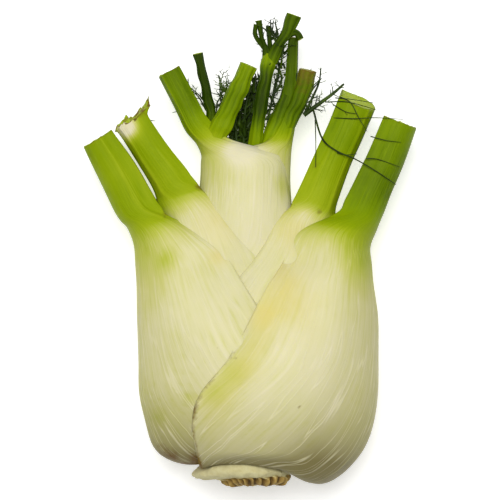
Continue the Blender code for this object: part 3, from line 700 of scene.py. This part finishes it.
def grow_stalk(name, node, stations, seed, ribs, browned=0.0):
    """A ribbed stalk with a cut end, along the stations."""
    body = STEM_RINGS * (len(stations) - 1)
    rings = body + 1 + len(CUT_RINGS)
    stalk = start_sleeve(name, STEM_SIDES, rings)
    side, ring = sleeve_grid(stalk, STEM_SIDES, rings)
    at = np.arange(body + 1) / STEM_RINGS
    s = through_stations(stations, at)
    forward = np.gradient(s[:, :3], axis=0)
    forward /= np.linalg.norm(forward, axis=1)[:, None]
    across = np.cross(forward, (0, 0, 1))
    across /= np.linalg.norm(across, axis=1)[:, None]
    above = np.cross(across, forward)
    cap = np.clip(ring - body, 0, len(CUT_RINGS))
    shrink, rise = np.array([(1.0, 0.0)] + CUT_RINGS)[cap].T
    at_ring = np.minimum(ring, body)
    turn = side / STEM_SIDES * 2 * math.pi
    radius = s[at_ring, 3] * shrink * (1 + STEM_RIB * np.cos(turn * ribs + seed))
    right = radius * np.cos(turn)
    high = STEM_FLAT * radius * np.sin(turn)
    scale = np.clip(s[at_ring, 3] / 5, 0.2, 1)
    near_cut = np.clip(ring / body * 8 - 7, 0, 1)
    rise = rise * scale - near_cut * high * STEM_CUT_SLOPE
    places = (s[at_ring, :3] + across[at_ring] * right[:, None] + above[at_ring] * high[:, None]
              + forward[at_ring] * rise[:, None] + (0, 0, AXIS)) * MM
    bumps = lumps(places, 3.5, seed) * 0.25 + lumps(places, 1.2, seed + 1) * 0.12 * near_cut
    places += (across[at_ring] + above[at_ring]) * bumps[:, None] * MM
    write_places(stalk.data, places)
    length = np.concatenate([[0], np.cumsum(np.linalg.norm(np.diff(s[:, :3], axis=0), axis=1))])
    cut = cap / len(CUT_RINGS)
    write_marks(stalk.data, vein=turn / math.pi, along=length[at_ring], cut=cut,
                green=s[at_ring, 4], warm=0 * turn, dull=0 * turn,
                groove=np.clip(-np.cos(turn * ribs + seed), 0, 1) * (cap == 0),
                brown=np.exp(-((cut - 0.12) / 0.10) ** 2) * np.clip(cut * 30, 0, 1) * 0.4
                + browned * np.clip(1.6 * ring / body - 0.6, 0, 1))
    close_up(stalk)
    smooth_once(stalk)
    stalk.data.materials.clear()
    stalk.data.materials.append(leaf_flesh)
    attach(stalk, "root")
    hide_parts(node)


grow_stalk("wide_branch", "inner_left_leaf", WIDE_BRANCH, 3, 9)
grow_stalk("thin_branch", "inner_left_leaf", THIN_BRANCH, 5, 7)

# ---------------------------------------------------------------------------------------
# Inner right leaf: the right of the neck, with a tall thin stalk and a brownish stub that
# was cut shorter beside it.
# ---------------------------------------------------------------------------------------

INNER_RIGHT = [
    Ring(-72.0, 0.0, 5.0, 3.0, 140, 140, 1.6, 0, 0, 0.1),
    Ring(-64.0, 0.3, 10.5, 6.0, 134, 136, 2.4, 0, 0, 0.1),
    Ring(-52.0, 0.5, 15.5, 9.0, 130, 132, 3.0, 0, 0, 0.1),
    Ring(-38.0, 0.6, 18.0, 10.8, 128, 130, 3.5, 0, 0, 0.1),
    Ring(-22.0, 0.6, 17.8, 10.6, 128, 130, 3.5, 0, 0, 0.1),
    Ring(-8.0, 0.6, 17.0, 8.8, 128, 130, 3.0, 0, 0, 0.1),
    Ring(6.0, 0.8, 16.2, 7.8, 128, 130, 2.8, 0, 0, 0.1),
    Ring(20.0, 1.2, 15.2, 8.0, 128, 130, 2.6, 0, 0, 0.12),
    Ring(32.0, 1.6, 14.5, 8.6, 128, 130, 2.6, 0, 0, 0.14),
    Ring(39.0, 2.2, 14.2, 8.4, 126, 128, 2.6, 0, 0, 0.22),
    Ring(43.5, 10.6, 6.4, 6.4, 108, 108, 4.5, 2, 0.5, 0.44),
    Ring(50.0, 13.8, 4.3, 4.4, 112, 112, 6.0, 5, 1, 0.78),
    Ring(62.0, 15.8, 2.9, 2.9, 112, 112, 4.0, 3, 1, 0.9),
    Ring(84.6, 17.2, 2.1, 2.1, 112, 112, 3.0, 3, 1, 0.96),
]
STUB_BRANCH = [Stem(13.0, 45.0, 1.0, 2.6, 0.6), Stem(16.2, 53.0, 2.0, 3.3, 0.86),
               Stem(21.0, 63.0, 2.5, 3.4, 0.86), Stem(23.0, 71.6, 3.0, 3.4, 0.8)]

TALL_FOOT = [Stem(6.6, 38.0, 0.0, 2.6, 0.4), Stem(8.4, 45.0, 1.4, 3.3, 0.66),
             Stem(12.0, 53.0, 1.4, 3.4, 0.88), Stem(15.0, 62.0, 0.6, 2.6, 0.92),
             Stem(15.8, 68.0, 0.0, 1.8, 0.94)]

# Its blotch is a painted highlight: a paler spot on the neck's rim.
grow_leaf("inner_right_leaf", INNER_RIGHT, 1,
          PLAIN._replace(seed=67, blotches=(("green", -3.0, 38.0, 6.0, -0.2),)))
grow_stalk("stub_branch", "inner_right_leaf", STUB_BRANCH, 7, 8, browned=0.6)
grow_stalk("tall_stalk_foot", "inner_right_leaf", TALL_FOOT, 9, 7)

# ---------------------------------------------------------------------------------------
# Heart leaf: the youngest leaf, whose stem comes up out of the middle of the neck and
# splits at a swollen node into three short branches.
# ---------------------------------------------------------------------------------------

HEART_STEM = [Stem(1.4, -54.0, 0.0, 1.5, 0.3), Stem(1.6, -30.0, 0.0, 4.0, 0.3),
              Stem(1.6, 10.0, 0.5, 4.0, 0.4), Stem(1.6, 36.0, 0.4, 2.7, 0.56),
              Stem(2.6, 46.0, 2.0, 2.7, 0.74), Stem(4.0, 56.0, 3.2, 2.7, 0.97),
              Stem(6.4, 69.0, 3.2, 2.4, 0.94), Stem(7.2, 75.0, 3.0, 2.9, 0.72),
              Stem(7.8, 78.4, 3.0, 2.0, 0.62)]
HEART_BRANCHES = [
    [Stem(7.4, 75.0, 3.0, 2.2, 0.8), Stem(6.0, 80.0, 3.0, 1.3, 0.95),
     Stem(4.6, 86.0, 3.0, 1.0, 0.97), Stem(3.6, 91.6, 3.0, 1.3, 0.95)],
    [Stem(7.8, 75.0, 2.0, 2.0, 0.8), Stem(7.8, 82.0, 1.4, 1.1, 0.97),
     Stem(7.4, 89.6, 1.0, 1.0, 0.97)],
    [Stem(8.0, 74.6, 3.0, 2.6, 0.8), Stem(11.2, 81.4, 4.0, 2.1, 0.92),
     Stem(15.2, 87.6, 4.0, 2.4, 0.92), Stem(17.4, 93.6, 4.0, 3.0, 0.92)],
    [Stem(6.0, 80.0, 3.0, 1.0, 0.95), Stem(2.4, 85.0, 3.4, 0.9, 0.97),
     Stem(2.2, 90.0, 3.4, 1.0, 0.96)],
    [Stem(14.0, 86.0, 4.0, 1.6, 0.94), Stem(18.4, 86.6, 4.0, 1.5, 0.96),
     Stem(20.0, 84.0, 4.0, 1.4, 0.96)],
]

grow_stalk("heart_stem", "heart_leaf", HEART_STEM, 11, 7)
for number, stations in enumerate(HEART_BRANCHES, 1):
    grow_stalk(f"heart_branch_{number}", "heart_leaf", stations, 20 + number, 6)

# ---------------------------------------------------------------------------------------
# The sheaths' free margins: as the bulb swelled, each one was pressed flat against the
# leaves that it wraps. Pressed from the innermost leaf outwards.
# ---------------------------------------------------------------------------------------

MARGIN_BAND = 0.55        # where the pressed band starts, as a part of the way to the margin
MARGIN_BITE = 0.35        # how far a margin is pressed in, in millimetres
LARGEST_GAP = 3.5         # that a margin is brought down over, in millimetres
EVENED_OVER = 9           # the gaps are evened out over this length, in millimetres
ROOT_HOLD = 36            # length at the base that the root holds, in millimetres
ROOT_RELEASE = 24         # and the length over which it lets go


def press_margin(leaf, wrapped):
    """Lower a leaf's front margin onto the leaves under it."""
    mesh = leaf.data
    places = read_places(mesh)
    share, face, along, stalk = (read_mark(mesh, n) for n in ("share", "face", "along", "stalk"))
    graph = bpy.context.evaluated_depsgraph_get()
    skins = [BVHTree.FromObject(piece, graph) for piece in wrapped]
    # the inner face's last facets before the margin, on the front of the bulb
    on_margin = (share > 0.985) & (face < 0.6) & (places[:, 2] > (AXIS + 5) * MM)
    gaps = []
    for i in np.flatnonzero(on_margin):
        above = Vector((places[i, 0], places[i, 1], 2 * AXIS * MM))
        hits = [skin.ray_cast(above, Vector((0, 0, -1)))[0] for skin in skins]
        heights = [hit.z for hit in hits if hit is not None]
        if heights:
            gaps.append((along[i], places[i, 2] / MM - max(heights) / MM))
    at, gap = np.array(sorted(gaps)).T
    lengths = np.arange(at[0], at[-1], 1.0)
    gap = np.pad(np.interp(lengths, at, np.clip(gap, -1, LARGEST_GAP)), EVENED_OVER // 2,
                 mode="edge")
    gap = np.convolve(gap, np.full(EVENED_OVER, 1 / EVENED_OVER), mode="valid")
    band = np.clip((share - MARGIN_BAND) / (1 - MARGIN_BAND), 0, 1)
    band = band * band * (3 - 2 * band)
    high = np.clip((places[:, 2] / MM - AXIS - 3) / 6, 0, 1)
    free = np.clip((along - ROOT_HOLD) / ROOT_RELEASE, 0, 1) * np.clip(1 - 2 * stalk, 0, 1)
    drop = np.interp(along, lengths, gap) + MARGIN_BITE
    places[:, 2] -= band * high * free * drop * MM
    write_places(mesh, places)


leaves = [outer_right, outer_left, second_right, second_left, inner_left]
for outside in range(len(leaves) - 2, -1, -1):
    press_margin(leaves[outside], leaves[outside + 1:])

# ---------------------------------------------------------------------------------------
# Fronds: feathery leaflets, each a wiry stem with finer threads forking from it. The
# thickest tuft fills the mouth of the neck around the heart's stem.
# ---------------------------------------------------------------------------------------

# Frond thread: a thin dark green leaf hair with a slight waxy gloss. Its shade changes in
# patches of 6 mm, from thread to thread more than along one.
frond_green = bpy.data.materials.new("fennel_frond_green")
frond_green.use_nodes = True
tree = frond_green.node_tree
shader = tree.nodes["Principled BSDF"]
shader.inputs["Roughness"].default_value = 0.5
shader.inputs["IOR"].default_value = 1.42
shader.inputs["Specular IOR Level"].default_value = 0.2
where = add_node(tree, "ShaderNodeTexCoord")
patch = add_node(tree, "ShaderNodeTexNoise", Vector=where.outputs["Object"],
                 Scale=0.16 / MM, Detail=3.0, Roughness=0.6)
tint = add_node(tree, "ShaderNodeValToRGB", Fac=patch.outputs["Fac"])
set_ramp(tint, (0.3, "162203"), (0.5, "273a06"), (0.68, "3f560a"), (0.8, "57700e"))
knobs = add_node(tree, "ShaderNodeBump", Height=patch.outputs["Fac"], Strength=0.3,
                 Distance=0.3 * MM)
tree.links.new(tint.outputs["Color"], shader.inputs["Base Color"])
tree.links.new(knobs.outputs["Normal"], shader.inputs["Normal"])


THREAD_STEP = 1.6         # length of a thread's straight pieces, in millimetres
THREAD_THINS = 0.65       # how much of its radius a thread loses up to its tip
THREADS_LOST = 0.25       # the part of a frond's threads that broke off
FINEST = 0.14             # radius of the finest threads, in millimetres


def thread(dice, start, heading, length, radius, wander):
    """A hair that wanders off from start, thinning to its tip: (place, radius) points."""
    steps = max(3, int(length / THREAD_STEP))
    place, heading = Vector(start), Vector(heading).normalized()
    points = [(place.copy(), radius)]
    for i in range(steps):
        heading = (heading + Vector([dice.uniform(-wander, wander) for _ in range(3)])).normalized()
        place = place + heading * (length / steps)
        points.append((place.copy(), radius * (1 - THREAD_THINS * (i + 1) / steps)))
    return points


def feather(dice, stem, every, length, depth=2):
    """The threads of one frond: its stem, threads off it in pairs, and threads off those."""
    strands = [stem]
    carried = 0.0
    hand = 1
    for (low, low_radius), (high, _) in zip(stem, stem[1:]):
        step = high - low
        carried += step.length
        while carried > every:
            carried -= every
            hand = -hand
            if dice.random() < THREADS_LOST:
                continue
            at = low.lerp(high, dice.random())
            spread = step.normalized().cross(Vector((0, 0, 1))) * hand
            heading = step.normalized() + spread * dice.uniform(0.6, 1.4)
            heading += Vector((0, 0, dice.uniform(-0.6, 0.6)))
            side = thread(dice, at, heading, length * dice.uniform(0.5, 1.1),
                          max(low_radius * 0.7, FINEST), 0.5)
            if depth > 1:
                strands += feather(dice, side, every * 1.1, length * 0.5, depth - 1)
            else:
                strands.append(side)
    return strands


def loose_threads(dice, count, corners, bearing, length, radius, wander):
    """Threads that start anywhere in a box; the spans are of x, y and height."""
    strands = []
    for _ in range(count):
        start = [dice.uniform(*span) for span in corners]
        heading = [dice.uniform(*span) for span in bearing]
        strands.append(thread(dice, start, heading, dice.uniform(*length), radius, wander))
    return strands


def thread_piece(name, strands, node):
    """Threads in millimetres, with heights over the axis, as one mesh."""
    curve = bpy.data.curves.new(name, "CURVE")
    curve.dimensions = "3D"
    curve.bevel_depth = MM
    curve.bevel_resolution = 1
    curve.use_fill_caps = True
    for strand in strands:
        spline = curve.splines.new("POLY")
        spline.points.add(len(strand) - 1)
        for target, (place, radius) in zip(spline.points, strand):
            target.co = (place.x * MM, place.y * MM, max(AXIS + place.z, 0.4) * MM, 1)
            target.radius = radius
    piece = bpy.data.objects.new(name, curve)
    bpy.context.scene.collection.objects.link(piece)
    select_only(piece)
    bpy.ops.object.convert(target="MESH")
    piece = bpy.context.object
    piece.data.name = name
    bpy.ops.object.shade_smooth()
    piece.data.materials.clear()
    piece.data.materials.append(frond_green)
    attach(piece, "root")
    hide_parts(node)
    return piece


def stem_through(points, radius):
    """A wiry stem through (x, y, height over the axis) points."""
    route = through_stations(points, np.linspace(0, len(points) - 1, 5 * len(points)))
    return [(Vector(place), radius * (1 - 0.6 * i / len(route)))
            for i, place in enumerate(route)]


dice = random.Random(7)
HEART_TUFT = [
    [(-4.0, 36.0, -2.5), (-5.6, 46.0, -3.0), (-5.0, 56.0, -2.0), (-1.5, 67.0, -2.0)],
    [(-5.0, 37.0, -3.0), (-7.4, 47.0, -4.0), (-6.6, 56.0, -3.0), (-4.0, 65.0, -3.0)],
    [(-2.4, 37.0, -2.0), (-2.4, 48.0, -1.0), (-1.6, 58.0, -0.5), (0.6, 66.0, -1.0)],
    [(-6.0, 40.0, -4.0), (-8.4, 48.0, -4.0), (-9.6, 54.0, -4.0), (-9.6, 60.0, -4.0)],
    [(-2.0, 38.0, -5.0), (-0.6, 48.0, -6.0), (0.6, 58.0, -6.0), (2.4, 70.0, -5.0)],
]
strands = []
for route in HEART_TUFT:
    strands += feather(dice, stem_through(route, 0.9), 0.7, 4.6)
for _ in range(110):
    start = (dice.uniform(-9, 4), dice.uniform(39, 64), dice.uniform(-8, 0))
    heading = (dice.uniform(-0.4, 0.5), 1, dice.uniform(-0.3, 0.3))
    strands.append(thread(dice, start, heading, dice.uniform(5, 9), 0.95, 0.35))
thread_piece("heart_frond_threads", strands, "heart_frond")

TALL_TUFT = [
    [(6.6, 48.0, -1.0), (8.4, 58.0, -1.0), (10.6, 66.0, -1.0), (11.6, 74.0, 0.0)],
    [(8.0, 56.0, -2.0), (10.0, 66.0, -2.0), (12.6, 76.0, -1.0), (12.0, 86.0, 0.0)],
    [(9.4, 62.0, 0.0), (12.6, 68.0, 0.0), (11.0, 76.0, 1.0), (13.6, 82.0, 1.0)],
    [(6.0, 52.0, 1.0), (10.0, 56.0, 1.0), (9.0, 62.0, 1.0), (13.0, 66.0, 1.0)],
    [(8.0, 77.0, 2.0), (5.6, 82.0, 2.0), (4.0, 88.0, 2.0)],
    [(12.0, 80.0, 3.0), (9.0, 86.0, 3.0), (8.0, 92.0, 3.0)],
]
strands = []
for route in TALL_TUFT:
    strands += feather(dice, stem_through(route, 0.5), 0.9, 3.8)
strands += loose_threads(dice, 26, [(8.5, 14), (70, 86), (-1, 4)],
                         [(-0.6, 0.9), (0.2, 1), (-0.2, 0.2)], (5, 9), 0.48, 0.75)
thread_piece("tall_frond_threads", strands, "heart_frond")

LEFT_TUFT = [
    [(-12.6, 52.0, -4.0), (-13.4, 58.0, -4.0), (-11.0, 64.0, -4.0), (-12.4, 70.0, -4.0)],
    [(-12.0, 50.0, -4.0), (-9.0, 57.0, -4.0), (-6.0, 64.0, -4.0), (-3.0, 69.0, -4.0)],
    [(-10.0, 52.0, -3.0), (-11.6, 60.0, -3.0), (-12.0, 66.0, -3.0), (-10.4, 71.6, -3.0)],
    [(-9.0, 56.0, -3.0), (-9.6, 62.0, -3.0), (-8.6, 68.0, -3.0)],
    [(-17.6, 56.0, -3.0), (-20.4, 61.0, -3.0), (-24.0, 64.6, -3.0)],
    [(-18.6, 60.0, -3.0), (-21.0, 62.6, -3.0), (-25.6, 66.6, -2.0)],
]
strands = []
for route in LEFT_TUFT:
    strands += feather(dice, stem_through(route, 0.36), 1.1, 3.6)
strands += loose_threads(dice, 44, [(-12.5, -4), (52, 66), (-6, -2)],
                         [(-0.9, 0.9), (-0.1, 1), (-0.2, 0.2)], (3, 7), 0.3, 0.45)
strands.append(thread(dice, (-27.0, 55.6, -3.0), (-1.0, -0.1, 0), 4.2, 0.3, 0.2))
strands.append(thread(dice, (-40.6, 52.0, 2.0), (1.0, -0.3, 0), 3.0, 0.25, 0.2))
thread_piece("left_frond_threads", strands, "left_frond")

SIDE_TUFT = [
    [(21.6, 54.0, 0.0), (27.0, 58.0, 1.0), (33.0, 62.4, 1.0), (37.6, 66.4, 1.0)],
    [(21.6, 54.0, 0.0), (25.0, 61.0, 0.0), (27.6, 67.0, 0.0), (28.4, 73.0, 0.0)],
]
strands = [stem_through(SIDE_TUFT[0], 1.0), stem_through(SIDE_TUFT[1], 0.6)]
strands += feather(dice, stem_through(SIDE_TUFT[0], 0.5), 1.2, 5.0)
strands += feather(dice, stem_through(SIDE_TUFT[1], 0.4), 1.8, 3.6)
strands += loose_threads(dice, 18, [(19, 24), (53, 66), (-2, 3)],
                         [(0.1, 0.9), (0.2, 1), (-0.2, 0.2)], (4, 9), 0.34, 0.4)
thread_piece("side_frond_threads", strands, "side_frond")

TRAILING = [
    [(25.2, 56.0, 4.0), (28.6, 44.6, 7.6), (34.0, 39.6, 9.6), (42.0, 36.0, 9.4),
     (50.0, 31.4, 9.2), (58.0, 26.0, 8.6)],
    [(26.0, 52.0, 4.0), (26.2, 42.0, 7.0), (26.0, 33.0, 9.2)],
    [(30.0, 59.0, 4.0), (38.0, 59.0, 7.6), (46.0, 57.0, 8.4), (50.4, 55.6, 7.6)],
    [(33.0, 58.0, 5.0), (38.0, 55.0, 8.4), (42.0, 54.2, 8.8)],
    [(36.0, 61.0, 6.0), (40.0, 58.6, 8.2), (43.0, 53.0, 8.8), (46.6, 47.0, 8.6)],
    [(34.0, 60.6, 5.4), (40.0, 60.0, 7.4), (49.0, 58.6, 7.0)],
    [(33.0, 52.6, 6.0), (41.0, 52.2, 8.8), (50.0, 52.6, 8.2), (61.0, 52.0, 6.8)],
    [(46.0, 36.4, 8.6), (51.0, 36.0, 8.6), (59.6, 33.0, 8.0)],
    [(48.0, 45.2, 7.0), (54.0, 43.6, 8.6), (60.0, 42.8, 7.6)],
    [(34.6, 38.6, 9.4), (38.0, 37.8, 9.2), (42.6, 38.2, 8.8)],
]
strands = [stem_through(TRAILING[0], 0.42)]
strands += [stem_through(route, 0.24) for route in TRAILING[1:]]
strands += feather(dice, stem_through(TRAILING[3], 0.2), 3.0, 2.6, 1)
thread_piece("trailing_frond_threads", strands, "trailing_frond")

# ---------------------------------------------------------------------------------------
# Stage: a white light table, one broad soft light from above and a little beyond the
# stalks, an even fill, and a camera looking straight down through a long lens.
# ---------------------------------------------------------------------------------------

bpy.ops.object.select_all(action="DESELECT")
bpy.ops.mesh.primitive_plane_add(size=6.0, location=(0, 0, 0))
tabletop = bpy.context.object
tabletop.name = "tabletop"
# Opal acrylic, matt and lit evenly from below
opal_acrylic = bpy.data.materials.new("opal_acrylic")
opal_acrylic.use_nodes = True
shader = opal_acrylic.node_tree.nodes["Principled BSDF"]
shader.inputs["Base Color"].default_value = (0.9, 0.9, 0.9, 1)
shader.inputs["Roughness"].default_value = 0.9
shader.inputs["Emission Color"].default_value = linear("ffffff")
shader.inputs["Emission Strength"].default_value = 0.45
tabletop.data.materials.append(opal_acrylic)

studio = bpy.data.worlds.new("studio")
studio.use_nodes = True
studio.node_tree.nodes["Background"].inputs["Color"].default_value = linear("ffffff")
studio.node_tree.nodes["Background"].inputs["Strength"].default_value = 0.22
bpy.context.scene.world = studio

bpy.ops.object.light_add(type="AREA", location=(-0.05, 0.24, 1.34))
softbox = bpy.context.object
softbox.data.shape = "DISK"
softbox.data.size = 0.6
softbox.data.energy = 15.0
aim = Vector((0, -0.01, AXIS * MM)) - softbox.location
softbox.rotation_euler = aim.to_track_quat("-Z", "Y").to_euler()

CAMERA_AWAY = 1.4         # from the shoot's axis, in metres
FRAME_WIDTH = 0.2         # what the picture spans at that axis
bpy.ops.object.camera_add(location=(0, 0, AXIS * MM + CAMERA_AWAY), rotation=(0, 0, 0))
camera = bpy.context.object
camera.data.sensor_width = 36.0
camera.data.lens = camera.data.sensor_width * CAMERA_AWAY / FRAME_WIDTH
bpy.context.scene.camera = camera
bpy.context.scene.view_settings.view_transform = "Standard"
